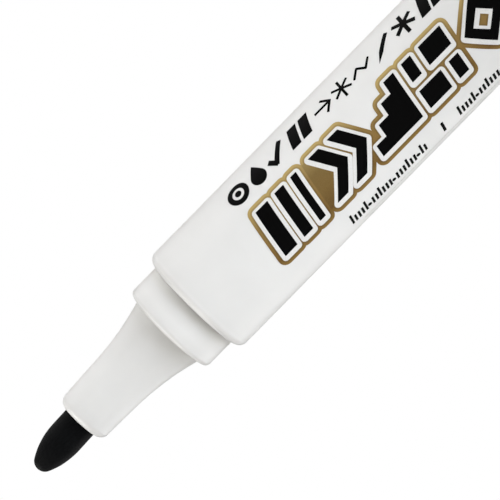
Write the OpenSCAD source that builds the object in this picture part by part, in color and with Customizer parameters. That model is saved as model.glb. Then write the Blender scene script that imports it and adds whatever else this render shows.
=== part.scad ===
// Whiteboard marker with a bullet nib and its cap posted on the tail.
// It stands on the cap's closed end: the axis is Z, the nib points up, and z = 0 is the face it stands on.
// Millimetres throughout. A profile is drawn in the (radius, height) half-plane and turned about Z.

/* [Barrel] */
// Outside diameter of the barrel
barrel_d = 17.5; // [17:0.1:20]
// Length of the barrel from its rear edge to its front face
barrel_len = 84; // [76:1:110]
// Rounding of the barrel's front edge
barrel_edge_r = 1.25; // [0.8:0.05:1.4]
// Diameter of the bore that holds both press-in ends
barrel_bore_d = 14.9; // [14.8:0.05:14.9]
// Number of centring ribs inside the barrel
barrel_ribs = 6; // [4:1:10]

/* [Nib holder] */
// Diameter of the collar that the cap seats on
collar_d = 14.5; // [14.3:0.05:14.5]
// Length of the collar in front of the barrel
collar_len = 5.1; // [4:0.1:8]
// Rounding of the collar's front edge
collar_edge_r = 0.8; // [0.3:0.1:1]
// Length of the cone in front of the collar
cone_len = 17.4; // [15:0.1:19]
// Diameter of the cone at its front end
cone_tip_d = 7.9; // [7.7:0.1:8.4]
// Draft angle of the cone's front stretch, in degrees
cone_draft = 2.2; // [1:0.1:3]
// Length of the drafted stretch, in front of the flare
cone_straight = 7.4; // [6:0.1:9]
// Radius of the concave flare between that stretch and the collar
flare_r = 41.4; // [40:0.1:60]
// Rounding of the cone's front edge
cone_edge_r = 1.3; // [0.6:0.05:1.35]

/* [Nib] */
// Diameter of the fibre nib
nib_d = 5.1; // [4.6:0.1:5.2]
// How far the nib stands out of its holder
nib_out = 8.8; // [7:0.1:10]
// Length of the rounded bullet end
bullet_len = 5.8; // [5:0.1:7]
// Radius of the nose at the very tip
nose_r = 1.65; // [1.1:0.05:1.7]
// Whole length of the nib
nib_len = 40; // [36:1:44]

/* [Ink reservoir] */
// Diameter of the fibre rod
fibre_d = 12.6; // [12:0.1:12.7]
// Thickness of the plastic film around the rod
film_t = 0.13; // [0.08:0.01:0.15]

/* [Tail plug] */
// Thickness of the flange between barrel and cap
flange_t = 1.5; // [1:0.1:3]
// Length of the post that carries the cap
post_len = 10.5; // [8:0.5:11]
// Depth of the plug inside the barrel
plug_depth = 8; // [6:0.5:10]

/* [Cap] */
// Length of the cap
cap_len = 42; // [41:1:50]
// Number of grip flutes around the cap
flutes = 24; // [12:2:28]
// Depth of a grip flute
flute_depth = 0.35; // [0.1:0.05:0.5]

/* [Hidden] */
$fn = 96;

eps = 0.01;          // overshoot of a cutting shape
root = 0.2;          // depth to which a rib's root is sunk into its wall
fit = 0.05;          // radial clearance of a push fit
seat_gap = 0.1;      // gap between the cap's rim and the flange
press_gap = 0.02;    // radial clearance drawn where a plug is pressed into the barrel
wall = 1.25;         // wall of the hollow mouldings

barrel_r = barrel_d / 2;
bore_r = barrel_bore_d / 2;
collar_r = collar_d / 2;
press_r = bore_r - press_gap;
nib_r = nib_d / 2;
fibre_r = fibre_d / 2;
film_r = fibre_r + press_gap + film_t;

// Heights along the axis, from the face that the cap stands on
post_z = cap_len + seat_gap - post_len;
flange_z = cap_len + seat_gap;
barrel_z = flange_z + flange_t;
plug_z = barrel_z + plug_depth;
front_z = barrel_z + barrel_len;
collar_z = front_z + collar_len;
flare_z = collar_z + cone_len - cone_straight;
cone_z = collar_z + cone_len;
tip_z = cone_z + nib_out;
spigot_len = 12;
spigot_z = front_z - spigot_len;

// Snap beads that keep the plugs in the barrel
bead_r = 0.35;
bead_centre_r = bore_r - 0.15;
front_bead_z = spigot_z + 3;
rear_bead_z = plug_z - 3;

// Reservoir
fibre_z = plug_z + 0.1;
fibre_end_z = front_z - 3.1;
nib_rear_z = tip_z - nib_len;
nib_taper = 3;
nib_rear_r = 1;

// Cone: radius where the draft meets the flare, and the centre of the flare's arc
flare_start_r = cone_tip_d / 2 + cone_straight * tan(cone_draft);
flare_centre = [flare_start_r + flare_r * cos(cone_draft), flare_z + flare_r * sin(cone_draft)];

// Inside of the nib holder
guide_r = nib_r + fit;
guide_z = cone_z - 6;
guide_lead = 1.5;
guide_ribs = 4;
chamber_r = 3.2;
chamber_z = collar_z + 3;

// Cap
liner_lip_r = flare_start_r + fit;
nib_room = 1.8;      // space in front of the nib when the cap is on the front
liner_wall = 1.0;
liner_z = cap_len - collar_len - cone_len - nib_out - nib_room - liner_wall;
ledge_z = cap_len - 16;
liner_flange_t = 1.2;
cap_mouth_r = collar_r + fit;
cap_inner_r = cap_mouth_r - 0.35;
cap_floor_z = 2.2;
cap_rib_z = liner_z + 2;
cap_ribs = 6;
liner_tube_r = liner_lip_r + liner_wall;
liner_gap = 0.1;

// A rectangle in the half-plane, from radius r0 to r1 and from height z0 to z1.
module band(r0, r1, z0, z1)
    translate([r0, z0]) square([r1 - r0, z1 - z0]);

// What is cut off to round the outer corner at (r, z) to radius f.
// up is 1 for an upper corner and -1 for a lower one.
module corner_trim(r, z, f, up = 1)
    translate([r - f, z - up * f]) mirror([0, up > 0 ? 0 : 1]) difference() {
        square(f + eps);
        circle(f);
    }

// What is cut off to round the inner edge of a mouth of radius r at height z to radius f.
module mouth_trim(r, z, f)
    translate([r + f, z - f]) mirror([1, 0]) difference() {
        square(f + eps);
        circle(f);
    }

// A ring of flat ribs around the axis. The child is a rib's outline in the half-plane.
module ribs(count, width)
    for (i = [0 : count - 1])
        rotate(i * 360 / count) rotate([90, 0, 0])
            translate([0, 0, -width / 2]) linear_extrude(width) children();

// Outline of the snap bead on a plug, at height z.
module snap_bead(z)
    intersection() {
        translate([bead_centre_r, z]) circle(bead_r);
        band(press_r - root, barrel_r, z - bead_r, z + bead_r);
    }

// The barrel: a plain white tube with a rounded front edge, snap grooves and centring ribs.
// The ribs' front ends are the stop that the nib holder is pressed in against.
module barrel() {
    rib_width = 0.9;
    rib_in_r = film_r + 0.1;
    rib_end_gap = fit;
    rear_edge_r = 0.35;
    groove_r = bead_r + fit;
    color("whitesmoke") union() {
        rotate_extrude() difference() {
            band(bore_r, barrel_r, barrel_z, front_z);
            corner_trim(barrel_r, front_z, barrel_edge_r);
            corner_trim(barrel_r, barrel_z, rear_edge_r, -1);
            translate([bead_centre_r, front_bead_z]) circle(groove_r);
            translate([bead_centre_r, rear_bead_z]) circle(groove_r);
        }
        ribs(barrel_ribs, rib_width)
            band(rib_in_r, bore_r + root, plug_z + rib_end_gap, spigot_z - rib_end_gap);
    }
}

// Outline of the cone: a drafted front stretch that runs into a concave flare, with a rounded front edge.
module cone_outline() {
    tip_r = cone_tip_d / 2;
    base_r = flare_centre[0] - sqrt(pow(flare_r, 2) - pow(flare_centre[1] - collar_z, 2));
    // The rounding touches both the drafted side and the flat front.
    edge_centre = [tip_r - cone_edge_r * (1 - sin(cone_draft)) / cos(cone_draft), cone_z - cone_edge_r];
    difference() {
        polygon([[0, flare_z], [flare_start_r, flare_z], [tip_r, cone_z], [0, cone_z]]);
        difference() {
            translate([edge_centre[0], edge_centre[1] + cone_edge_r * sin(cone_draft)])
                square([tip_r, cone_edge_r]);
            translate(edge_centre) circle(cone_edge_r);
        }
    }
    difference() {
        band(0, base_r + eps, collar_z, flare_z);
        translate(flare_centre) circle(flare_r);
    }
}

// Hollow of the nib holder: a cup for the reservoir, a funnel, a ribbed chamber and a close guide
// for the nib.
module holder_hollow() {
    cup_r = film_r + 0.1;
    cup_z = fibre_end_z + 0.2;
    cup_ledge = 0.9;
    polygon([[0, spigot_z - eps], [cup_r, spigot_z - eps], [cup_r, cup_z], [cup_r - cup_ledge, cup_z],
             [chamber_r, chamber_z], [chamber_r, guide_z - guide_lead], [guide_r, guide_z],
             [guide_r, cone_z + eps], [0, cone_z + eps]]);
}

// The nib holder: spigot inside the barrel, collar for the cap, and the cone that carries the nib.
module nib_holder() {
    rib_width = 0.8;
    color("white") union() {
        rotate_extrude() difference() {
            union() {
                difference() {
                    band(0, collar_r, front_z - eps, collar_z);
                    corner_trim(collar_r, collar_z, collar_edge_r);
                }
                cone_outline();
                band(0, press_r, spigot_z, front_z);
                snap_bead(front_bead_z);
            }
            holder_hollow();
        }
        ribs(guide_ribs, rib_width) band(guide_r, chamber_r + root, chamber_z, guide_z - guide_lead);
    }
}

// The nib: a fibre rod with an ogive and a round nose in front, and a blunt taper in the reservoir.
module nib() {
    ogive_z = tip_z - bullet_len;
    nose_z = tip_z - nose_r;
    // The ogive's arc is tangent to the rod where it starts and to the nose where it ends.
    ogive_r = (pow(nose_z - ogive_z, 2) / (nib_r - nose_r) + nib_r + nose_r) / 2;
    meet_z = ogive_z + ogive_r * (nose_z - ogive_z) / (ogive_r - nose_r);
    color("black") rotate_extrude() union() {
        polygon([[0, nib_rear_z], [nib_rear_r, nib_rear_z], [nib_r, nib_rear_z + nib_taper],
                 [nib_r, ogive_z], [0, ogive_z]]);
        intersection() {
            translate([nib_r - ogive_r, ogive_z]) circle(ogive_r);
            band(0, nib_r, ogive_z - eps, meet_z);
        }
        intersection() {
            translate([0, nose_z]) circle(nose_r);
            band(0, nib_r, meet_z - eps, tip_z);
        }
    }
}

// The ink reservoir: a bonded fibre rod with the socket that the nib's rear end presses into.
module ink_reservoir() {
    socket_floor_z = nib_rear_z - fit;
    color("dimgray") rotate_extrude() difference() {
        band(0, fibre_r, fibre_z, fibre_end_z);
        polygon([[0, socket_floor_z], [nib_rear_r + fit, socket_floor_z],
                 [nib_r + fit, socket_floor_z + nib_taper], [nib_r + fit, fibre_end_z + eps],
                 [0, fibre_end_z + eps]]);
    }
}

// The thin plastic film wrapped round the fibre rod.
module reservoir_film()
    color("gainsboro") rotate_extrude() band(fibre_r + press_gap, film_r, fibre_z, fibre_end_z);

// The tail plug: spigot in the barrel, flange flush with the barrel, and a hollow post for the cap.
module tail_plug() {
    hollow_r = 6.0;
    flange_edge_r = 0.25;
    post_edge_r = 0.8;
    color("black") rotate_extrude() difference() {
        union() {
            band(0, press_r, barrel_z - eps, plug_z);
            snap_bead(rear_bead_z);
            difference() {
                band(0, barrel_r, flange_z, barrel_z);
                corner_trim(barrel_r, barrel_z, flange_edge_r);
                corner_trim(barrel_r, flange_z, flange_edge_r, -1);
            }
            difference() {
                band(0, collar_r, post_z, flange_z + eps);
                corner_trim(collar_r, post_z, post_edge_r, -1);
            }
        }
        band(0, hollow_r, post_z + wall, plug_z + eps);
    }
}

// A cutter with round ends for one grip flute, standing on the cap's outside.
module flute_cutter(r, z0, z1)
    rotate_extrude() union() {
        band(0, r, z0 + r, z1 - r);
        intersection() {
            translate([0, z0 + r]) circle(r);
            band(0, r, z0, z0 + r);
        }
        intersection() {
            translate([0, z1 - r]) circle(r);
            band(0, r, z1 - r, z1);
        }
    }

// The cap: a deep cup with a fluted grip, a ledge for the liner and a shallow dish in its closed end.
module cap_shell() {
    end_edge_r = 1.2;
    rim_edge_r = 0.25;
    mouth_edge_r = 0.3;
    dish_r = 5;
    dish_depth = 0.5;
    flute_r = 0.9;
    flute_ends = [4, 24];
    rib_width = 1.0;
    snap_r = 0.3;
    snap_z = ledge_z + liner_flange_t + snap_r + liner_gap;
    color("black") difference() {
        union() {
            rotate_extrude() difference() {
                band(0, barrel_r, 0, cap_len);
                corner_trim(barrel_r, 0, end_edge_r, -1);
                corner_trim(barrel_r, cap_len, rim_edge_r);
                band(0, dish_r, -eps, dish_depth);
                band(0, cap_inner_r, cap_floor_z, ledge_z + eps);
                difference() {
                    band(0, cap_mouth_r, ledge_z, cap_len + eps);
                    translate([cap_mouth_r + snap_r / 2, snap_z]) circle(snap_r);
                }
                mouth_trim(cap_mouth_r, cap_len, mouth_edge_r);
            }
            ribs(cap_ribs, rib_width)
                band(liner_tube_r + liner_gap, cap_inner_r + root, cap_rib_z, ledge_z - liner_gap);
        }
        for (i = [0 : flutes - 1])
            rotate((i + 0.5) * 360 / flutes)
                translate([barrel_r + flute_r - flute_depth, 0, 0])
                    flute_cutter(flute_r, flute_ends[0], flute_ends[1]);
    }
}

// The liner: the soft inner cup that closes round the cone and keeps the nib from drying.
module cap_liner() {
    floor_edge_r = 0.8;
    lip_edge_r = 0.35;
    top_z = ledge_z + liner_flange_t;
    color("white") rotate_extrude() difference() {
        union() {
            band(0, liner_tube_r, liner_z, top_z);
            band(0, cap_mouth_r - fit, ledge_z + eps, top_z);
        }
        corner_trim(liner_tube_r, liner_z, floor_edge_r, -1);
        band(0, liner_lip_r, liner_z + liner_wall, top_z + eps);
        mouth_trim(liner_lip_r, top_z, lip_edge_r);
    }
}

barrel();
nib_holder();
nib();
ink_reservoir();
reservoir_film();
tail_plug();
cap_shell();
cap_liner();
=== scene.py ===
"""Looks of a whiteboard marker that stands on its posted cap, nib up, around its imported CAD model."""
import math

import bmesh
import bpy
from mathutils import Matrix, Vector, noise
from mathutils.geometry import delaunay_2d_cdt


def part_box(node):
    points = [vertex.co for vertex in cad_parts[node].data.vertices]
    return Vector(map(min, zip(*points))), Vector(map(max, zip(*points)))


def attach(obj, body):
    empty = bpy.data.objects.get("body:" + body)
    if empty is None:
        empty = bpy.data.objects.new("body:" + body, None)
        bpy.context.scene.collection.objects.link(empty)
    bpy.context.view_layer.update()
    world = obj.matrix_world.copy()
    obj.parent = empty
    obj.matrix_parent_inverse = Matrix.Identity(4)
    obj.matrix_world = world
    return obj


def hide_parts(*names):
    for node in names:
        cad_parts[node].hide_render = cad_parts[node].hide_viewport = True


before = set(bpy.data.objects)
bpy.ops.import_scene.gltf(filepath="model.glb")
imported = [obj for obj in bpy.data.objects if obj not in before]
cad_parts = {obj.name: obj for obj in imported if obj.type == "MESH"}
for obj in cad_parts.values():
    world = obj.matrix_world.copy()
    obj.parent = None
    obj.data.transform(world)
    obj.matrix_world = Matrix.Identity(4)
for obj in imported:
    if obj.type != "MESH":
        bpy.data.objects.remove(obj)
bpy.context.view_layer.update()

MM = 0.001

# ---------------------------------------------------------------------------------------------
# Places along the axis and radii, in millimetres
# ---------------------------------------------------------------------------------------------


def span(node):
    """Lowest and highest point of a CAD node along the axis, in millimetres."""
    low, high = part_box(node)
    return low.z / MM, high.z / MM


def half_width(node):
    """Largest radius of a CAD node, in millimetres."""
    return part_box(node)[1].x / MM


BARREL_R = half_width("barrel")
BARREL_Z, FRONT_Z = span("barrel")
SPIGOT_Z, CONE_Z = span("nib_holder")
NIB_REAR_Z, TIP_Z = span("nib")
POST_Z, PLUG_Z = span("tail_plug")
CAP_END_Z, CAP_RIM_Z = span("cap_shell")
NIB_R = half_width("nib")

# Sizes that no box gives are the CAD's own, but for the nose, which is narrower to fit the photo's outline.
BORE_R = 7.45
PRESS_R = 7.43
COLLAR_R = 7.25
COLLAR_LEN = 5.1
COLLAR_Z = FRONT_Z + COLLAR_LEN
FLANGE_Z = BARREL_Z - 1.5
BARREL_EDGE_R = 1.25
COLLAR_EDGE_R = 0.8
CONE_TIP_R = 3.95
CONE_DRAFT = math.radians(2.2)
CONE_STRAIGHT = 7.4
CONE_EDGE_R = 1.3
FLARE_R = 41.4
GUIDE_R = NIB_R + 0.05
BULLET_LEN = 5.8
NOSE_R = 1.53
# The cone's and the nib's axes bend to -X: millimetres aside per square millimetre past where each bend starts.
BEND_Z = CONE_Z - 8
BEND_LEN = 7.0
HOLDER_BEND = 0.0022
NIB_BEND = 0.0017

# ---------------------------------------------------------------------------------------------
# Turned shapes
# ---------------------------------------------------------------------------------------------


def arc(centre_r, centre_z, radius, start, end, steps=8):
    """Points of an arc in the (radius, height) half-plane. Angles in degrees, 0 outwards and 90 upwards."""
    points = []
    for i in range(steps + 1):
        a = math.radians(start + (end - start) * i / steps)
        points.append((centre_r + radius * math.cos(a), centre_z + radius * math.sin(a)))
    return points


def line(start, end, step):
    """Points between two places in the half-plane, evenly spaced about a step apart, both ends included."""
    count = max(1, round(math.dist(start, end) / step))
    return [(start[0] + (end[0] - start[0]) * i / count, start[1] + (end[1] - start[1]) * i / count)
            for i in range(count + 1)]


def without_repeats(points):
    """The points, without any that lies on the one before it."""
    kept = points[:1]
    for point in points[1:]:
        if math.dist(point, kept[-1]) > 1e-4:
            kept.append(point)
    return kept


def finished(name, bm):
    """A smooth-shaded mesh object made from bm, which is freed."""
    bmesh.ops.recalc_face_normals(bm, faces=bm.faces)
    mesh = bpy.data.meshes.new(name)
    bm.to_mesh(mesh)
    bm.free()
    mesh.polygons.foreach_set("use_smooth", [True] * len(mesh.polygons))
    obj = bpy.data.objects.new(name, mesh)
    bpy.context.scene.collection.objects.link(obj)
    return obj


def turned(name, profile, steps=180, closed=True, shift=None, lean=None):
    """A mesh object turned about Z from profile points in millimetres. A point at radius 0 becomes a pole.
    shift(radius, angle, height) gives a new radius, for what isn't quite round, and lean(height) gives how far
    the axis has wandered to +X there and how steeply it leans."""
    profile = without_repeats(profile)
    if closed and math.dist(profile[0], profile[-1]) <= 1e-4:
        profile = profile[:-1]
    bm = bmesh.new()
    rings = []
    for radius, height in profile:
        aside, slope = lean(height) if lean else (0, 0)
        if radius < 1e-6:
            rings.append([bm.verts.new((aside * MM, 0, height * MM))])
            continue
        ring = []
        for k in range(steps):
            a = 2 * math.pi * k / steps
            r = shift(radius, a, height) if shift else radius
            x = r * math.sin(a)
            ring.append(bm.verts.new(((aside + x) * MM, -r * MM * math.cos(a), (height - slope * x) * MM)))
        rings.append(ring)
    pairs = list(zip(rings, rings[1:]))
    if closed:
        pairs.append((rings[-1], rings[0]))
    for lower, upper in pairs:
        if len(lower) == 1 and len(upper) == 1:
            continue
        for k in range(steps):
            n = (k + 1) % steps
            if len(lower) == 1:
                bm.faces.new((lower[0], upper[n], upper[k]))
            elif len(upper) == 1:
                bm.faces.new((lower[k], lower[n], upper[0]))
            else:
                bm.faces.new((lower[k], lower[n], upper[n], upper[k]))
    obj = finished(name, bm)
    obj.data.set_sharp_from_angle(angle=math.radians(50))
    return obj


def wander(height):
    """Offset of the holder's and the nib's axis to +X at a height, and its slope: both bend a little to -X."""
    past = max(0.0, height - BEND_Z)
    bent = min(past, BEND_LEN)
    free = max(0.0, height - CONE_Z)
    offset = -HOLDER_BEND * bent * (2 * past - bent) - NIB_BEND * free ** 2
    return offset, -2 * HOLDER_BEND * bent - 2 * NIB_BEND * free


def place(obj, body, slot, material, *nodes):
    """Gives a piece its material and its body, and hides the CAD nodes that it stands for. slot is not used."""
    obj.data.materials.append(material)
    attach(obj, body)
    if nodes:
        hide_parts(*nodes)


# ---------------------------------------------------------------------------------------------
# Materials
# ---------------------------------------------------------------------------------------------


def fill_ramp(node, stops):
    """Gives a colour ramp its stops of (position, colour)."""
    elements = node.color_ramp.elements
    elements[0].position, elements[-1].position = stops[0][0], stops[-1][0]
    for position, colour in stops[1:-1]:
        elements.new(position)
    for element, (position, colour) in zip(elements, stops):
        element.color = (*colour, 1)


class Shader:
    """A node material with a Principled shader, and short ways to add the nodes that this object needs."""

    def __init__(self, name, base, roughness, **sockets):
        self.material = bpy.data.materials.new(name)
        self.material.use_nodes = True
        self.nodes = self.material.node_tree.nodes
        self.links = self.material.node_tree.links
        self.principled = self.nodes["Principled BSDF"]
        self.principled.inputs["Base Color"].default_value = (*base, 1)
        self.principled.inputs["Roughness"].default_value = roughness
        for socket, value in sockets.items():
            self.principled.inputs[socket.replace("_", " ")].default_value = value
        coordinates = self.nodes.new("ShaderNodeTexCoord")
        self.place = coordinates.outputs["Object"]
        self.height = None

    def link(self, output, input_socket):
        """Feeds an output into an input."""
        self.links.new(output, input_socket)

    def scaled(self, scale):
        """Object coordinates scaled by (x, y, z), for grain that is longer one way."""
        mapping = self.nodes.new("ShaderNodeMapping")
        mapping.inputs["Scale"].default_value = scale
        self.link(self.place, mapping.inputs["Vector"])
        return mapping.outputs["Vector"]

    def noise(self, scale, detail=3, vector=None, roughness=0.5):
        """Noise of about that many waves a metre, in object coordinates unless a vector is given."""
        node = self.nodes.new("ShaderNodeTexNoise")
        node.inputs["Scale"].default_value = scale
        node.inputs["Detail"].default_value = detail
        node.inputs["Roughness"].default_value = roughness
        self.link(vector or self.place, node.inputs["Vector"])
        return node.outputs["Fac"]

    def ramp(self, value, *stops):
        """Colour ramp with stops of (position, colour)."""
        node = self.nodes.new("ShaderNodeValToRGB")
        fill_ramp(node, stops)
        self.link(value, node.inputs["Fac"])
        return node.outputs["Color"]

    def remap(self, value, low, high, to_low, to_high):
        """The value moved from one range to another, and held inside it."""
        node = self.nodes.new("ShaderNodeMapRange")
        for index, number in enumerate((low, high, to_low, to_high), 1):
            node.inputs[index].default_value = number
        self.link(value, node.inputs[0])
        return node.outputs["Result"]

    def axis_height(self):
        """Height along the marker's axis, in metres."""
        node = self.nodes.new("ShaderNodeSeparateXYZ")
        self.link(self.place, node.inputs["Vector"])
        return node.outputs["Z"]

    def across(self):
        """Place across the printed side, in metres: the row frame's X."""
        node = self.nodes.new("ShaderNodeSeparateXYZ")
        self.link(self.place, node.inputs["Vector"])
        return node.outputs["X"]

    def mix(self, factor, first, second):
        """Colour mix. factor is an output; first and second are outputs or colours."""
        node = self.nodes.new("ShaderNodeMix")
        node.data_type = "RGBA"
        self.link(factor, node.inputs["Factor"])
        for name, value in (("A", first), ("B", second)):
            socket = next(s for s in node.inputs if s.name == name and s.type == "RGBA")
            if isinstance(value, tuple):
                socket.default_value = (*value, 1)
            else:
                self.link(value, socket)
        return next(s for s in node.outputs if s.type == "RGBA")

    def graded(self, colour, zero, *stops):
        """Paints shade and light into the colour along the axis, by multiplying it: stops are (mm above zero,
        factor, share of the painted shade's warm tint).
        """
        node = self.nodes.new("ShaderNodeMix")
        node.data_type, node.blend_type = "RGBA", "MULTIPLY"
        node.inputs["Factor"].default_value = 1
        low, high = stops[0][0], stops[-1][0]
        height = self.remap(self.axis_height(), (zero + low) * MM, (zero + high) * MM, 0.0, 1.0)
        factors = self.ramp(height, *(((at - low) / (high - low), (factor, factor * (1 - 0.006 * warm),
                                                                   factor * (1 - 0.04 * warm)))
                                      for at, factor, warm in stops))
        for name, value in (("A", colour), ("B", factors)):
            self.link(value, next(s for s in node.inputs if s.name == name and s.type == "RGBA"))
        return next(s for s in node.outputs if s.type == "RGBA")

    def bump(self, value, distance, strength=1.0):
        """Adds a bump of that height in metres on top of the ones before it."""
        node = self.nodes.new("ShaderNodeBump")
        node.inputs["Strength"].default_value = strength
        node.inputs["Distance"].default_value = distance
        self.link(value, node.inputs["Height"])
        if self.height is not None:
            self.link(self.height, node.inputs["Normal"])
        self.height = node.outputs["Normal"]
        self.link(self.height, self.principled.inputs["Normal"])

    def colour(self, output):
        """Makes an output the material's colour."""
        self.link(output, self.principled.inputs["Base Color"])

    def rough(self, output):
        """Makes an output the material's roughness."""
        self.link(output, self.principled.inputs["Roughness"])


def shade_range(shade, less, more):
    """A darker and a lighter version of a shade."""
    return tuple(c * less for c in shade), tuple(min(1, c * more) for c in shade)


def white_plastic(name, shade, roughness):
    """Satin moulded polypropylene: a faint cloudiness, a fine moulded grain and a shallow waviness."""
    s = Shader(name, shade, roughness, Subsurface_Weight=0.12, Subsurface_Scale=0.0012, IOR=1.49)
    s.principled.inputs["Subsurface Radius"].default_value = (1.0, 0.95, 0.9)
    darker, lighter = shade_range(shade, 0.975, 1.012)
    s.base = s.ramp(s.noise(140, 3), (0.3, darker), (0.7, lighter))
    s.colour(s.base)
    s.rough(s.remap(s.noise(2600, 4), 0.3, 0.7, roughness - 0.05, roughness + 0.06))
    s.bump(s.noise(260, 2), 0.00002, 0.35)
    s.bump(s.noise(5200, 3), 0.000004, 0.5)
    return s


def barrel_material():
    """White plastic with the shading of its front edge deepened to what the photo shows."""
    # The barrel's shade is set a little darker than the holder's, though both are the same plastic: painted
    # shade that evens out the stronger light the barrel gets.
    s = white_plastic("barrel_plastic", (0.733, 0.733, 0.735), 0.42)
    # Painted shade: darker over the last 0.33 mm of the rounded front edge, down to 0.8, with a painted lift of
    # up to 3.5 per cent from 0.6 to 1 mm behind it.
    rim = ((-1.6, 1.0, 0), (-1.0, 1.035, 0), (-0.6, 1.02, 0), (-0.33, 0.89, 0), (-0.15, 0.83, 0), (0.0, 0.8, 0))
    s.colour(s.graded(s.base, FRONT_Z, *rim))
    return s.material


def holder_material():
    """The barrel's plastic, with the shading of the two corners and of the collar's edge deepened to what the
    photo shows."""
    # A little lighter than the barrel's shade, though the same plastic: the difference is painted light and
    # shade that evens out how the lamps light the two.
    s = white_plastic("nib_holder_plastic", (0.768, 0.768, 0.770), 0.4)
    # Painted shadow on the collar just in front of the barrel's step, warm-tinted.
    corner = ((0.0, 1.0, 1), (0.25, 0.985, 1), (0.5, 0.975, 1), (0.8, 0.98, 0.8), (1.1, 0.985, 0.5))
    # Painted shade at the collar's rounded front edge, down to 0.76, with a faint darkening before it.
    collar = ((1.6, 1.0, 0), (3.0, 1.0, 0), (3.8, 0.97, 0), (4.8, 0.97, 0), (4.95, 0.84, 0), (5.09, 0.76, 0))
    # Painted shadow on the cone where the collar shades it, warm-tinted, fading out over about 6 mm.
    cone = ((5.11, 0.94, 0.6), (6.4, 0.92, 0.5), (7.2, 0.95, 0.3), (8.0, 0.97, 0.1), (9.7, 0.99, 0),
            (11.1, 1.0, 0))
    s.colour(s.graded(s.base, FRONT_Z, *corner, *collar, *cone))
    return s.material


def nib_material():
    """Bonded acrylic fibre soaked in black ink: long fine grain, and a felted nose."""
    s = Shader("nib_fibre", (0.0045, 0.0047, 0.0052), 0.62, Sheen_Weight=0.03, Sheen_Roughness=0.5,
               Specular_IOR_Level=0.04)
    along = s.scaled((1, 1, 0.06))
    grain = s.noise(6500, 4, along, 0.6)
    felt = s.noise(3800, 4)
    s.colour(s.ramp(grain, (0.3, (0.0015, 0.0017, 0.0021)), (0.75, (0.0044, 0.0048, 0.0055))))
    s.rough(s.remap(felt, 0.3, 0.7, 0.5, 0.75))
    s.bump(grain, 0.00003, 0.6)
    s.bump(felt, 0.00002, 0.4)
    return s.material


def black_plastic(name, roughness=0.2):
    """Gloss black moulding: long flow marks, fine handling scratches and a light waviness."""
    s = Shader(name, (0.007, 0.007, 0.0075), roughness, IOR=1.46)
    scratches = s.noise(900, 5, s.scaled((1, 1, 0.12)), 0.7)
    s.colour(s.ramp(s.noise(160, 3), (0.3, (0.006, 0.006, 0.0065)), (0.7, (0.009, 0.009, 0.0096))))
    s.rough(s.remap(scratches, 0.35, 0.7, roughness - 0.06, roughness + 0.12))
    s.bump(s.noise(220, 2), 0.00002, 0.3)
    s.bump(scratches, 0.000003, 0.4)
    return s.material


def liner_material():
    """White plastic of the cap's inner cup."""
    return white_plastic("liner_plastic", (0.72, 0.72, 0.70), 0.35).material


def fibre_material():
    """Grey bundled fibre, stained by the ink."""
    s = Shader("reservoir_fibre", (0.05, 0.05, 0.055), 0.9, Sheen_Weight=0.3)
    strands = s.noise(4200, 4, s.scaled((1, 1, 0.03)), 0.6)
    s.colour(s.ramp(strands, (0.35, (0.02, 0.02, 0.024)), (0.7, (0.10, 0.10, 0.11))))
    s.bump(strands, 0.00005, 0.8)
    return s.material


def film_material():
    """Thin clouded wrap."""
    s = Shader("reservoir_film", (0.75, 0.77, 0.79), 0.25, Alpha=0.85)
    s.rough(s.remap(s.noise(700, 3, s.scaled((1, 1, 0.1))), 0.3, 0.7, 0.18, 0.35))
    s.bump(s.noise(400, 3, s.scaled((1, 1, 0.05))), 0.00003, 0.5)
    return s.material


def ink_material(name, shade, roughness, specular=0.5):
    """Screen-printed ink: nearly flat, with the mesh's faint grain."""
    s = Shader(name, shade, roughness, Specular_IOR_Level=specular)
    grain = s.noise(5000, 3)
    darker, lighter = shade_range(shade, 0.93, 1.07)
    s.colour(s.ramp(grain, (0.25, darker), (0.75, lighter)))
    s.rough(s.remap(grain, 0.3, 0.7, roughness - 0.05, roughness + 0.07))
    s.bump(grain, 0.000004, 0.5)
    return s.material


def gold_material(name, depth):
    """Metallic ink with fine flake, from pale gold at the top of the band to bronze at its foot. depth scales
    how light it is."""
    s = Shader(name, (0.3, 0.2, 0.08), 0.42, Metallic=0.35)
    foot_x, top_x = -0.0056, 0.0039
    run = s.remap(s.across(), foot_x, top_x, 0.0, 1.0)
    stops = ((0.0, (0.25, 0.146, 0.033)), (0.15, (0.155, 0.078, 0.013)), (0.42, (0.232, 0.136, 0.033)),
             (0.66, (0.25, 0.156, 0.046)), (0.95, (0.46, 0.33, 0.122)))
    tone = s.ramp(run, *((position, tuple(depth * c for c in colour)) for position, colour in stops))
    flake = s.noise(9000, 2)
    s.colour(s.mix(s.remap(flake, 0.35, 0.75, 0.0, 0.12), tone, (0.5, 0.38, 0.15)))
    s.rough(s.remap(flake, 0.3, 0.7, 0.36, 0.5))
    s.bump(flake, 0.000003, 0.5)
    return s.material


# ---------------------------------------------------------------------------------------------
# The marker's pieces
# ---------------------------------------------------------------------------------------------


def make_barrel(material):
    """The barrel: a tube with a rounded front edge and a plain bore."""
    rear_edge_r = 0.35
    lip_r = 0.12
    profile = (
        arc(BARREL_R - rear_edge_r, BARREL_Z + rear_edge_r, rear_edge_r, -90, 0, 5)
        + line((BARREL_R, BARREL_Z + rear_edge_r), (BARREL_R, FRONT_Z - BARREL_EDGE_R), 1.6)
        + arc(BARREL_R - BARREL_EDGE_R, FRONT_Z - BARREL_EDGE_R, BARREL_EDGE_R, 0, 90, 14)
        + arc(BORE_R + lip_r, FRONT_Z - lip_r, lip_r, 90, 180, 4)
        + line((BORE_R, FRONT_Z - lip_r), (BORE_R, BARREL_Z), 8)
    )
    barrel = turned("barrel_tube", profile, 240)
    place(barrel, "marker", "barrel", material, "barrel")


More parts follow.
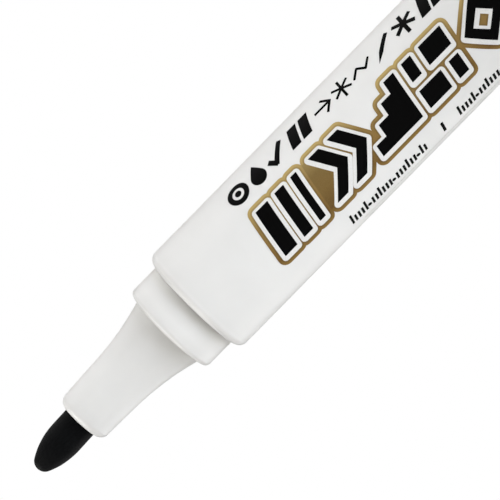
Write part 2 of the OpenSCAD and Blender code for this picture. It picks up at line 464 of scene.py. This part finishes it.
def cone_profile():
    """Outline of the cone from the collar's front face to the bore, with its flare and rounded edge."""
    flare_z = CONE_Z - CONE_STRAIGHT
    start_r = CONE_TIP_R + CONE_STRAIGHT * math.tan(CONE_DRAFT)
    centre_r = start_r + FLARE_R * math.cos(CONE_DRAFT)
    centre_z = flare_z + FLARE_R * math.sin(CONE_DRAFT)
    fillet_r = 0.25
    root_z = COLLAR_Z + fillet_r
    root_angle = 180 + math.degrees(math.asin((centre_z - root_z) / FLARE_R))
    root_r = centre_r + FLARE_R * math.cos(math.radians(root_angle))
    edge_r = CONE_EDGE_R
    edge_centre_r = CONE_TIP_R - edge_r * (1 - math.sin(CONE_DRAFT)) / math.cos(CONE_DRAFT)
    edge_centre_z = CONE_Z - edge_r
    draft = math.degrees(CONE_DRAFT)
    lip_r = 0.08
    return (
        arc(root_r + fillet_r, root_z, fillet_r, 270, 180, 5)
        + arc(centre_r, centre_z, FLARE_R, root_angle, 180 + draft, 20)
        + line((start_r, flare_z), (edge_centre_r + edge_r * math.cos(CONE_DRAFT),
                                    edge_centre_z + edge_r * math.sin(CONE_DRAFT)), 0.8)
        + arc(edge_centre_r, edge_centre_z, edge_r, draft, 90, 14)
        + arc(GUIDE_R + lip_r, CONE_Z - lip_r, lip_r, 90, 180, 3)
    )


def make_nib_holder(material):
    """The nib holder: a spigot in the barrel, the collar and the cone, with the nib's guide inside."""
    cup_r = 6.55
    cup_z = FRONT_Z - 2.9
    chamber_r = 3.2
    chamber_z = COLLAR_Z + 3
    guide_z = CONE_Z - 6
    profile = (
        [(cup_r, SPIGOT_Z), (PRESS_R, SPIGOT_Z), (PRESS_R, FRONT_Z - 0.3), (COLLAR_R, FRONT_Z - 0.25)]
        + line((COLLAR_R, FRONT_Z - 0.2), (COLLAR_R, COLLAR_Z - COLLAR_EDGE_R), 0.6)
        + arc(COLLAR_R - COLLAR_EDGE_R, COLLAR_Z - COLLAR_EDGE_R, COLLAR_EDGE_R, 0, 90, 12)
        + cone_profile()
        + [(GUIDE_R, guide_z), (chamber_r, guide_z - 1.5), (chamber_r, chamber_z), (cup_r - 0.9, cup_z),
           (cup_r, cup_z)]
    )
    holder = turned("nib_holder_moulding", profile, 240, lean=wander)
    place(holder, "marker", "nib_holder", material, "nib_holder")


def make_nib(material):
    """A bullet nib, uneven like bonded fibre. Its nose is a little narrower than the CAD nib's, to fit the
    photo's outline."""
    ogive_z = TIP_Z - BULLET_LEN
    nose_z = TIP_Z - NOSE_R
    ogive_r = ((nose_z - ogive_z) ** 2 / (NIB_R - NOSE_R) + NIB_R + NOSE_R) / 2
    meet = math.degrees(math.asin((nose_z - ogive_z) / (ogive_r - NOSE_R)))
    taper_z = NIB_REAR_Z + 3
    hidden_z = CONE_Z - 0.5
    profile = (
        [(0, NIB_REAR_Z), (1.0, NIB_REAR_Z), (NIB_R, taper_z)]
        + line((NIB_R, taper_z), (NIB_R, hidden_z), 4)
        + line((NIB_R, hidden_z), (NIB_R, ogive_z), 0.15)
        + arc(NIB_R - ogive_r, ogive_z, ogive_r, 0, meet, 44)
        + arc(0, nose_z, NOSE_R, meet, 90, 16)
    )
    profile[-1] = (0, TIP_Z)

    def uneven(radius, angle, height):
        """The radius with the fibre's lumps, which fade out where the cone holds the nib."""
        free = min(1, max(0, (height - CONE_Z - 0.15) / 1.2))
        around = Vector((math.cos(angle) * 2.2, math.sin(angle) * 2.2, height * 0.25))
        fine = Vector((math.cos(angle) * 9, math.sin(angle) * 9, height * 0.7))
        slack = 0.022 * noise.noise(around) + 0.010 * noise.noise(fine) - 0.004
        return radius + free * slack * min(1, radius / NOSE_R)

    nib = turned("fibre_nib", profile, 160, closed=False, shift=uneven, lean=wander)
    place(nib, "marker", "nib", material, "nib")


def make_tail_plug(material):
    """The tail plug: a hollow spigot in the barrel, a flange flush with it and the post for the cap."""
    hollow_r = 6.0
    edge_r = 0.25
    post_edge_r = 0.8
    fillet_r = 0.2
    floor_z = POST_Z + 1.25
    profile = (
        [(0, POST_Z)]
        + line((0.6, POST_Z), (COLLAR_R - post_edge_r, POST_Z), 1.2)
        + arc(COLLAR_R - post_edge_r, POST_Z + post_edge_r, post_edge_r, -90, 0, 8)
        + line((COLLAR_R, POST_Z + post_edge_r), (COLLAR_R, FLANGE_Z - fillet_r), 1.0)
        + [(COLLAR_R + 0.03, FLANGE_Z)]
        + arc(BARREL_R - edge_r, FLANGE_Z + edge_r, edge_r, -90, 0, 5)
        + arc(BARREL_R - edge_r, BARREL_Z - edge_r, edge_r, 0, 90, 5)
        + [(PRESS_R, BARREL_Z), (PRESS_R, PLUG_Z), (hollow_r, PLUG_Z), (hollow_r, floor_z), (0, floor_z)]
    )
    plug = turned("tail_plug_moulding", profile, 200, closed=False)
    place(plug, "marker", "tail_plug", material, "tail_plug")


def make_cap(material):
    """The cap with its fluted grip, a dish in the closed end with the gate's mark, and a stepped bore."""
    flutes = 24
    cutter_r = 0.9
    depth = 0.35
    flute_low, flute_high = CAP_END_Z + 4, CAP_END_Z + 24
    pitch = 2 * math.pi / flutes
    centre = BARREL_R + cutter_r - depth
    end_edge_r = 1.2
    rim_edge_r = 0.25
    mouth_r = 7.3
    mouth_edge_r = 0.3
    inner_r = 6.95
    ledge_z = CAP_RIM_Z - 16
    dish_r = 5.0
    dish_depth = 0.5
    dish_edge_r = 0.3
    dish_z = CAP_END_Z + dish_depth
    gate_r = 0.9
    gate_z = dish_z - 0.22
    floor_z = CAP_END_Z + 2.2

    def fluted(radius, angle, height):
        """The radius with the flutes cut in, which have round ends."""
        if radius < BARREL_R - 1e-3 or not flute_low < height < flute_high:
            return radius
        end = min(height - flute_low, flute_high - height)
        reach = cutter_r if end >= cutter_r else math.sqrt(cutter_r ** 2 - (cutter_r - end) ** 2)
        off = (angle / pitch) % 1 * pitch - pitch / 2
        side = centre * math.sin(off)
        if abs(side) >= reach:
            return radius
        return min(radius, centre * math.cos(off) - math.sqrt(reach ** 2 - side ** 2))

    low_ring = flute_low + cutter_r
    high_ring = flute_high - cutter_r
    profile = (
        [(0, gate_z), (gate_r * 0.6, gate_z)]
        + arc(gate_r - 0.2, gate_z + 0.1, 0.1, -90, 0, 3)
        + [(gate_r - 0.1, dish_z)]
        + line((gate_r, dish_z), (dish_r - dish_edge_r, dish_z), 1.0)
        + arc(dish_r - dish_edge_r, dish_z - dish_edge_r, dish_edge_r, 90, 0, 4)
        + [(dish_r, CAP_END_Z + 0.12), (dish_r + 0.12, CAP_END_Z)]
        + line((dish_r + 0.3, CAP_END_Z), (BARREL_R - end_edge_r, CAP_END_Z), 0.8)
        + arc(BARREL_R - end_edge_r, CAP_END_Z + end_edge_r, end_edge_r, -90, 0, 12)
        + line((BARREL_R, CAP_END_Z + end_edge_r), (BARREL_R, flute_low), 0.9)
        + line((BARREL_R, flute_low), (BARREL_R, low_ring), 0.07)
        + line((BARREL_R, low_ring), (BARREL_R, high_ring), 1.4)
        + line((BARREL_R, high_ring), (BARREL_R, flute_high), 0.07)
        + line((BARREL_R, flute_high), (BARREL_R, CAP_RIM_Z - rim_edge_r), 1.4)
        + arc(BARREL_R - rim_edge_r, CAP_RIM_Z - rim_edge_r, rim_edge_r, 0, 90, 5)
        + arc(mouth_r + mouth_edge_r, CAP_RIM_Z - mouth_edge_r, mouth_edge_r, 90, 180, 5)
        + line((mouth_r, CAP_RIM_Z - mouth_edge_r), (mouth_r, ledge_z), 3)
        + [(inner_r, ledge_z), (inner_r, floor_z), (0, floor_z)]
    )
    cap = turned("cap_moulding", profile, flutes * 16, closed=False, shift=fluted)
    place(cap, "cap", "cap_shell", material, "cap_shell")


# ---------------------------------------------------------------------------------------------
# The print: figures laid out flat in millimetres, along from the barrel's front face towards the
# tail and up round the barrel from the middle of the printed side, then wrapped onto the barrel
# ---------------------------------------------------------------------------------------------

# A FOOT is the lower edge of a row, up round the barrel, and a START is where the row begins along it.
SLANT = 0.19
WHITE_LINE = 0.57
BRONZE_LINE = 0.8
GOLD_LINE = 1.2
OUTLINE_SHIFT = (-0.04, -0.16)
BAND_FOOT = -4.5
BAND_HEIGHT = 7.27
BAND_START = 14.05
ICON_FOOT = 5.1
ICON_START = 13.7
ICON_GAP = 0.62
MARK_FOOT = -9.7
MARK_START = 23.3
FILM_START = 25.0
FILM_EDGE = (-11.2, -10.8)
PRINT_HEIGHT = 0.02
PRINT_SUNK = 0.015


def leaning(points, foot=BAND_FOOT):
    """Leans a figure towards the tail with its height above the foot line."""
    return [(x + SLANT * (y - foot), y) for x, y in points]


def stroke(start, end, width):
    """A straight stroke with square ends, as a convex outline."""
    dx, dy = end[0] - start[0], end[1] - start[1]
    length = math.hypot(dx, dy)
    nx, ny = -dy / length * width / 2, dx / length * width / 2
    return [(start[0] - nx, start[1] - ny), (end[0] - nx, end[1] - ny),
            (end[0] + nx, end[1] + ny), (start[0] + nx, start[1] + ny)]


def disc(x, y, radius, sides=32):
    """A round dot."""
    return [(x + radius * math.cos(2 * math.pi * k / sides), y + radius * math.sin(2 * math.pi * k / sides))
            for k in range(sides)]


def block(x, width, low=0.0, high=1.0):
    """An upright block of the band, with low and high as shares of the band's height."""
    y0, y1 = BAND_FOOT + low * BAND_HEIGHT, BAND_FOOT + high * BAND_HEIGHT
    return [(x, y0), (x + width, y0), (x + width, y1), (x, y1)]


def bars(x, *widths):
    """Upright bars that get thinner or thicker."""
    gap = 1.35
    figures = []
    for width in widths:
        figures.append(block(x, width))
        x += width + gap
    return figures, [], x - gap


def chevrons(x, count=2, reach=2.75, thick=2.05, pitch=3.65):
    """Blocks that meet in a point towards the tail, one behind the other, with the hollow in front filled."""
    foot, top = BAND_FOOT, BAND_FOOT + BAND_HEIGHT
    middle = (foot + top) / 2
    lead = 1.2
    figures = []
    for k in range(count):
        x0 = x + k * pitch
        for end in (foot, top):
            figures.append([(x0, end), (x0 + thick, end), (x0 + reach + thick, middle), (x0 + reach, middle)])
    hollow = [(x - lead, foot), (x, foot), (x + reach, middle), (x, top), (x - lead, top)]
    return figures, [hollow], x + (count - 1) * pitch + reach + thick


def steps(x, width=1.9, count=4):
    """A staircase that rises towards the tail."""
    figures = [block(x + k * width, (count - k) * width, k / count, (k + 1) / count) for k in range(count)]
    return figures, [], x + count * width


def bricks(x, length=7.4, gap=1.5):
    """Two courses of bricks with staggered joints."""
    course, thick = 0.6, 0.4
    figures = []
    for row, joint in enumerate((0.66, 0.34)):
        low, high = row * course, row * course + thick
        first = joint * length - gap / 2
        figures.append(block(x, first, low, high))
        figures.append(block(x + first + gap, length - first - gap, low, high))
    return figures, [], x + length


def diamond(x, width=7.2, thick=1.75):
    """A four-sided figure with an open middle."""
    foot, top = BAND_FOOT, BAND_FOOT + BAND_HEIGHT
    middle, centre = (foot + top) / 2, x + width / 2
    figures = []
    for x0, x1 in ((x, x + thick), (x + width, x + width - thick)):
        for y0, y1 in ((foot, foot + thick * 1.1), (top, top - thick * 1.1)):
            figures.append([(x0, middle), (centre, y0), (centre, y1), (x1, middle)])
    return figures, [], x + width


def band_figures():
    """The bold figures of the main band, in order towards the tail, and the hollows filled with bronze. An
    entry of the row holds a figure, its sizes and the gap after it."""
    row = (
        (bars, (2.3, 1.7, 1.1), 2.3),
        (chevrons, (), 0.4),
        (steps, (), 1.5),
        (bricks, (), 1.9),
        (diamond, (), 1.6),
        (bars, (1.1, 1.7, 2.3), 2.3),
        (chevrons, (1,), 0),
    )
    x = BAND_START
    figures, hollows = [], []
    for figure, sizes, gap in row:
        outlines, fills, x = figure(x, *sizes)
        figures += outlines
        hollows += fills
        x += gap
    return [leaning(outline) for outline in figures], [leaning(outline) for outline in hollows]


def counter_clockwise(outline):
    """The outline, turned round if it runs clockwise."""
    area = sum(a[0] * b[1] - b[0] * a[1] for a, b in zip(outline, outline[1:] + outline[:1]))
    return outline if area > 0 else outline[::-1]


def rounded(outline, reach, steps=5):
    """A convex outline grown by reach, with round corners, and shifted as the band's outlines are."""
    points = [(x + OUTLINE_SHIFT[0], y + OUTLINE_SHIFT[1]) for x, y in counter_clockwise(outline)]
    grown = []
    count = len(points)
    for i, point in enumerate(points):
        before, after = points[i - 1], points[(i + 1) % count]
        a0 = math.atan2(point[1] - before[1], point[0] - before[0]) - math.pi / 2
        a1 = math.atan2(after[1] - point[1], after[0] - point[0]) - math.pi / 2
        turn = (a1 - a0) % (2 * math.pi)
        corner = max(1, math.ceil(steps * turn / (math.pi / 2)))
        for k in range(corner + 1):
            a = a0 + turn * k / corner
            grown.append((point[0] + reach * math.cos(a), point[1] + reach * math.sin(a)))
    return without_repeats(grown)


def pictograms():
    """The upper row: plain pictograms, four bold ones, four light ones and then large ones."""
    foot = ICON_FOOT

    def target(x, size, thick):
        """A dot in a ring."""
        r = size * 0.45
        centre = (x + r, foot + r)
        outer, inner = disc(*centre, r), disc(*centre, r - thick)
        ring = [[outer[k - 1], outer[k], inner[k], inner[k - 1]] for k in range(len(outer))]
        return ring + [disc(*centre, thick * 0.65, 16)], 2 * r

    def pen(x, size, thick):
        """A pen that leans towards the tail with its point down."""
        start, width = size * 0.34, thick * 1.7
        side = width / 2 * math.sqrt(0.5)
        body = stroke((x + start, foot + start), (x + size - side, foot + size - side), width)
        point = [(x, foot), (x + start + side, foot + start - side), (x + start - side, foot + start + side)]
        return [body, point], size

    def drop(x, size, thick):
        """A drop with its point up."""
        r = size * 0.33
        return [disc(x + r, foot + r, r), [(x + 0.07 * r, foot + 1.37 * r), (x + 1.93 * r, foot + 1.37 * r),
                                           (x + r, foot + size)]], 2 * r

    def tick(x, size, thick):
        """A tick with a short and a long arm."""
        low = foot + thick * 0.6
        return [stroke((x + thick * 0.3, foot + size * 0.45), (x + size * 0.34, low), thick),
                stroke((x + size * 0.27, low), (x + size * 0.85, foot + size * 0.93), thick)], size * 0.85

    def arrow(x, size, thick):
        """An arrow towards the tail."""
        middle, reach = foot + size / 2, size * 0.36
        tip = x + size * 0.82
        return [stroke((x, middle), (tip - thick * 0.5, middle), thick),
                stroke((tip - reach, middle + reach), (tip, middle - thick * 0.3), thick),
                stroke((tip - reach, middle - reach), (tip, middle + thick * 0.3), thick)], size * 0.82

    def eraser(x, size, thick):
        """Two slanting blocks, like a rubber half in its sleeve."""
        lean, top, low = size * 0.25, foot + size * 0.95, foot + size * 0.05
        split = size * 0.42
        first = [(x, low), (x + split, low), (x + split + lean, top), (x + lean, top)]
        return [first] + [[(px + split + thick * 0.6, py) for px, py in first]], 2 * split + thick * 0.6 + lean

    def spark(x, size, thick):
        """Three strokes that cross in the middle."""
        centre = (x + size * 0.42, foot + size / 2)
        arms = []
        for k in range(3):
            a = math.pi / 6 + k * math.pi / 3
            dx, dy = size * 0.46 * math.cos(a), size * 0.46 * math.sin(a)
            arms.append(stroke((centre[0] - dx, centre[1] - dy), (centre[0] + dx, centre[1] + dy), thick))
        return arms, size * 0.84

    def wave(x, size, thick):
        """A zigzag with round corners."""
        knots = [(x + size * 0.3 * k, foot + size * (0.34, 0.66)[k % 2]) for k in range(4)]
        return [stroke(a, b, thick) for a, b in zip(knots, knots[1:])] + [
            disc(px, py, thick / 2, 12) for px, py in knots], size * 0.9

    bold, light, large = (3.9, 0.8), (3.65, 0.4), (4.2, 0.62)
    row = [(target, bold), (drop, bold), (tick, bold), (eraser, bold), (arrow, light), (spark, light),
           (wave, light), (pen, light), (spark, large), (eraser, large), (pen, large), (drop, large),
           (tick, large), (arrow, large)]
    x = ICON_START
    figures = []
    for icon, (size, thick) in row:
        shapes, width = icon(x, size, thick)
        figures += shapes
        x += width + ICON_GAP
    return figures


def fine_marks():
    """The lower row: groups of fine slanting marks and dots, with a taller bar between the groups."""
    foot = MARK_FOOT
    short, tall = 1.5, 2.1
    thin, thick = 0.38, 0.38 * 1.2
    pitch = 0.67
    gap_before, gap_after = 2.9, 3.1
    dot_r = 0.34

    def mark(x, height, width):
        """A slanting mark."""
        return leaning([(x, foot), (x + width, foot), (x + width, foot + height), (x, foot + height)], foot)

    x = MARK_START
    figures = []
    for group in (22, 17, 15):
        for k in range(group):
            if k % 7 == 5:
                figures.append(disc(x + 0.25, foot + 0.66, dot_r, 12))
            else:
                figures.append(mark(x, tall if k % 4 == 0 else short, thin))
            x += pitch
        x += gap_before
        figures.append(mark(x, tall, thick))
        x += gap_after
    return figures[:-1]


def inside(outline, x, y):
    """True if a convex outline, counter-clockwise, holds the point."""
    for (x0, y0), (x1, y1) in zip(outline, outline[1:] + outline[:1]):
        if (x1 - x0) * (y - y0) - (y1 - y0) * (x - x0) < 0:
            return False
    return True


class Region:
    """A union of convex outlines, with a quick test for whether it holds a point."""

    def __init__(self, outlines):
        self.outlines = [counter_clockwise(outline) for outline in outlines]
        self.boxes = [(min(p[0] for p in o), max(p[0] for p in o), min(p[1] for p in o), max(p[1] for p in o))
                      for o in self.outlines]

    def holds(self, x, y):
        """True if any of the outlines holds the point."""
        return any(x0 <= x <= x1 and y0 <= y <= y1 and inside(o, x, y)
                   for o, (x0, x1, y0, y1) in zip(self.outlines, self.boxes))


def cut_up(vertices, edges, faces):
    """Points and triangles of a flat drawing, cut along all its edges."""
    result = delaunay_2d_cdt([Vector(v) for v in vertices], edges, faces, 0, 1e-5)
    return result[0], result[2]


def kind_of(triangle, points, regions):
    """Index of the first region that holds the triangle's middle, or None."""
    x, y = sum((points[i] for i in triangle), Vector((0, 0))) / 3
    return next((index for index, region in enumerate(regions) if region.holds(x, y)), None)


def print_layout(regions, grid_along=1.6, grid_up=0.3):
    """Cuts the flat print into triangles that follow the regions' outer edges and a grid fine enough to wrap.
    Earlier regions lie over later ones. Gives the points and, for each region, its triangles."""
    vertices, faces = [], []
    for region in regions:
        for outline in region.outlines:
            start = len(vertices)
            vertices += outline
            faces.append(list(range(start, start + len(outline))))
    points, triangles = cut_up(vertices, [], faces)
    # Keep only the edges where one region ends and another begins.
    owners = {}
    for triangle in triangles:
        kind = kind_of(triangle, points, regions)
        for a, b in zip(triangle, triangle[1:] + triangle[:1]):
            owners.setdefault((min(a, b), max(a, b)), []).append(kind)
    borders = [edge for edge, kinds in owners.items()
               if (len(kinds) == 1 and kinds[0] is not None) or (len(kinds) == 2 and kinds[0] != kinds[1])]
    used = sorted({i for edge in borders for i in edge})
    renumber = {old: new for new, old in enumerate(used)}
    flat = [tuple(points[i]) for i in used]
    edges = [(renumber[a], renumber[b]) for a, b in borders]
    xs, ys = [p[0] for p in flat], [p[1] for p in flat]
    margin = 0.1
    low_x, high_x, low_y, high_y = min(xs) - margin, max(xs) + margin, min(ys) - margin, max(ys) + margin
    for k in range(math.ceil((high_y - low_y) / grid_up) + 1):
        y = low_y + k * grid_up
        flat += [(low_x, y), (high_x, y)]
        edges.append((len(flat) - 2, len(flat) - 1))
    for k in range(math.ceil((high_x - low_x) / grid_along) + 1):
        x = low_x + k * grid_along
        flat += [(x, low_y), (x, high_y)]
        edges.append((len(flat) - 2, len(flat) - 1))
    points, triangles = cut_up(flat, edges, [])
    parts = [[] for _ in regions]
    for triangle in triangles:
        kind = kind_of(triangle, points, regions)
        if kind is not None:
            parts[kind].append(triangle)
    return points, parts


def wrapped(name, points, triangles):
    """A thin closed layer wrapped onto the barrel from flat triangles, a little proud of it and a little
    sunk."""
    bm = bmesh.new()
    tops, feet = {}, {}

    def at(index, radius):
        """Place of a flat point on the round barrel, in metres."""
        along, up = points[index]
        angle = up / BARREL_R
        return (radius * MM * math.sin(angle), -radius * MM * math.cos(angle), (FRONT_Z - along) * MM)

    for triangle in triangles:
        for i in triangle:
            if i not in tops:
                tops[i] = bm.verts.new(at(i, BARREL_R + PRINT_HEIGHT))
                feet[i] = bm.verts.new(at(i, BARREL_R - PRINT_SUNK))
    count = {}
    for triangle in triangles:
        bm.faces.new([tops[i] for i in triangle])
        bm.faces.new([feet[i] for i in reversed(triangle)])
        for a, b in zip(triangle, triangle[1:] + triangle[:1]):
            count[(a, b)] = count.get((a, b), 0) + 1
    for a, b in count:
        if (b, a) not in count:
            bm.faces.new((tops[b], tops[a], feet[a], feet[b]))
    obj = finished(name, bm)
    outwards = [Vector((v.co.x, v.co.y, 0)).normalized() for v in obj.data.vertices]
    obj.data.normals_split_custom_set_from_vertices(outwards)
    return obj


def make_print():
    """The print: four inks and the film's edge, each a layer of its own. Earlier ones lie over later ones."""
    black, hollows = band_figures()
    white, bronze, gold = ([rounded(figure, reach) for figure in black]
                           for reach in (WHITE_LINE, BRONZE_LINE, GOLD_LINE))
    film_end = FRONT_Z - BARREL_Z - 0.5
    low, high = FILM_EDGE
    film = [(FILM_START, low), (film_end, low), (film_end, high), (FILM_START, high)]
    layers = (black + pictograms() + fine_marks(), white, bronze + hollows, gold, [film])
    points, parts = print_layout([Region(outlines) for outlines in layers])
    looks = (
        ("print_black", "print_ink", ink_material("black_ink", (0.0018, 0.0018, 0.0019), 0.5, 0.03)),
        ("print_white", "print_white", ink_material("white_ink", (0.70, 0.70, 0.70), 0.4)),
        ("print_bronze", "print_gold", gold_material("bronze_ink", 0.8)),
        ("print_gold", "print_gold", gold_material("gold_ink", 1.08)),
        ("print_film_edge", "print_white", ink_material("film_edge", (0.66, 0.66, 0.655), 0.3)),
    )
    for (name, slot, material), triangles in zip(looks, parts):
        place(wrapped(name, points, triangles), "marker", slot, material)


# ---------------------------------------------------------------------------------------------
# Stage, light and camera
# ---------------------------------------------------------------------------------------------


def make_stage():
    """A large pale floor."""
    bpy.ops.mesh.primitive_grid_add(x_subdivisions=8, y_subdivisions=8, size=12, location=(0, 0, 0))
    floor = bpy.context.object
    floor.name = "floor"
    s = Shader("light_table", (0.82, 0.82, 0.82), 0.9, Specular_IOR_Level=0.1)
    s.colour(s.ramp(s.noise(3, 2), (0.3, (0.815, 0.815, 0.815)), (0.7, (0.825, 0.825, 0.825))))
    floor.data.materials.append(s.material)


def make_world():
    """A dim tent with a bright roof, and plain white wherever the camera sees past the object."""
    world = bpy.data.worlds.new("tent")
    bpy.context.scene.world = world
    world.use_nodes = True
    nodes, links = world.node_tree.nodes, world.node_tree.links
    nodes.clear()
    output = nodes.new("ShaderNodeOutputWorld")
    seen = nodes.new("ShaderNodeBackground")
    seen.inputs["Color"].default_value = (1, 1, 1, 1)
    seen.inputs["Strength"].default_value = 1.0
    lit = nodes.new("ShaderNodeBackground")
    lit.inputs["Strength"].default_value = 1.0
    coordinates = nodes.new("ShaderNodeTexCoord")
    split = nodes.new("ShaderNodeSeparateXYZ")
    ramp = nodes.new("ShaderNodeValToRGB")
    # How bright the tent is, from the horizon at 0 to straight up at 1.
    levels = ((0.0, 0.07), (0.4, 0.05), (0.86, 0.05), (0.94, 6.4), (1.0, 6.4))
    fill_ramp(ramp, [(height, (level, level * 0.985, level * 0.95)) for height, level in levels])
    path = nodes.new("ShaderNodeLightPath")
    mix = nodes.new("ShaderNodeMixShader")
    links.new(coordinates.outputs["Generated"], split.inputs["Vector"])
    links.new(split.outputs["Z"], ramp.inputs["Fac"])
    links.new(ramp.outputs["Color"], lit.inputs["Color"])
    links.new(path.outputs["Is Camera Ray"], mix.inputs["Fac"])
    links.new(lit.outputs["Background"], mix.inputs[1])
    links.new(seen.outputs["Background"], mix.inputs[2])
    links.new(mix.outputs["Shader"], output.inputs["Surface"])


def area_light(name, place_at, aim, size, power, spread=180, colour=(1, 1, 1)):
    """A round soft light that the camera doesn't see."""
    data = bpy.data.lights.new(name, "AREA")
    data.shape = "DISK"
    data.size = size
    data.energy = power
    data.spread = math.radians(spread)
    data.color = colour
    light = bpy.data.objects.new(name, data)
    light.location = place_at
    light.rotation_euler = (Vector(aim) - Vector(place_at)).to_track_quat("-Z", "Y").to_euler()
    light.visible_camera = False
    bpy.context.scene.collection.objects.link(light)


def make_lights():
    """Small gridded lights low in front, which graze the steps from the tail's side, and soft ones round the
    sides."""
    low_z, cool = 0.004, (0.95, 0.98, 1.0)
    collar_at = (0, 0, FRONT_Z * MM + 0.010)
    # Name, azimuth, distance, size, spread and power
    low_lights = (
        ("low_near", -30, 0.06, 0.04, 56, 0.0039),
        ("low_left", -20, 0.08, 0.06, 52, 0.0099),
        ("low_right", 24, 0.08, 0.06, 52, 0.0049),
        ("low_far", -40, 0.12, 0.08, 46, 0.0089),
    )
    for name, azimuth, distance, size, spread, power in low_lights:
        a = math.radians(azimuth)
        at = (distance * math.sin(a), -distance * math.cos(a), low_z)
        area_light(name, at, collar_at, size, power, spread, cool)
    soft_size = 0.45
    barrel_at = (0, 0, 0.125)
    # Name, place and power
    soft_lights = (
        ("side", (0.6, -0.10, 0.11), 1.04),
        ("back_left", (-0.52, 0.3, 0.12), 0.74),
        ("back_right", (0.52, 0.3, 0.12), 0.57),
    )
    for name, at, power in soft_lights:
        area_light(name, at, barrel_at, soft_size, power)


def make_camera():
    """A long lens near the floor, rolled half a right angle, that looks slightly up at the front of the
    marker."""
    distance = 0.9
    frame_width = 0.0682
    up_angle = math.radians(4.9)
    roll = math.radians(45.55)
    along, across = math.sin(roll), math.cos(roll)
    aim = Vector((-0.00027, 0, (FRONT_Z - 10.61) * MM))
    look = Vector((0, math.cos(up_angle), math.sin(up_angle)))
    axis = Vector((0, -math.sin(up_angle), math.cos(up_angle)))
    side = Vector((1, 0, 0))
    right = -across * axis - along * side
    up = -along * axis + across * side
    data = bpy.data.cameras.new("camera")
    data.sensor_width = 36
    data.lens = data.sensor_width * distance / frame_width
    data.clip_start = 0.01
    data.clip_end = 20
    camera = bpy.data.objects.new("camera", data)
    camera.matrix_world = Matrix((
        (right.x, up.x, -look.x, aim.x - look.x * distance),
        (right.y, up.y, -look.y, aim.y - look.y * distance),
        (right.z, up.z, -look.z, aim.z - look.z * distance),
        (0, 0, 0, 1),
    ))
    bpy.context.scene.collection.objects.link(camera)
    bpy.context.scene.camera = camera


# ---------------------------------------------------------------------------------------------
# Everything together
# ---------------------------------------------------------------------------------------------

make_barrel(barrel_material())
make_nib_holder(holder_material())
make_nib(nib_material())
gloss_black = black_plastic("black_gloss")
make_tail_plug(gloss_black)
make_cap(gloss_black)
make_print()

for node, finish in (("cap_liner", liner_material()), ("ink_reservoir", fibre_material()),
                     ("reservoir_film", film_material())):
    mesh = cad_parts[node].data
    mesh.materials.clear()
    mesh.materials.append(finish)

make_stage()
make_world()
make_lights()
make_camera()
bpy.context.scene.view_settings.view_transform = "Standard"
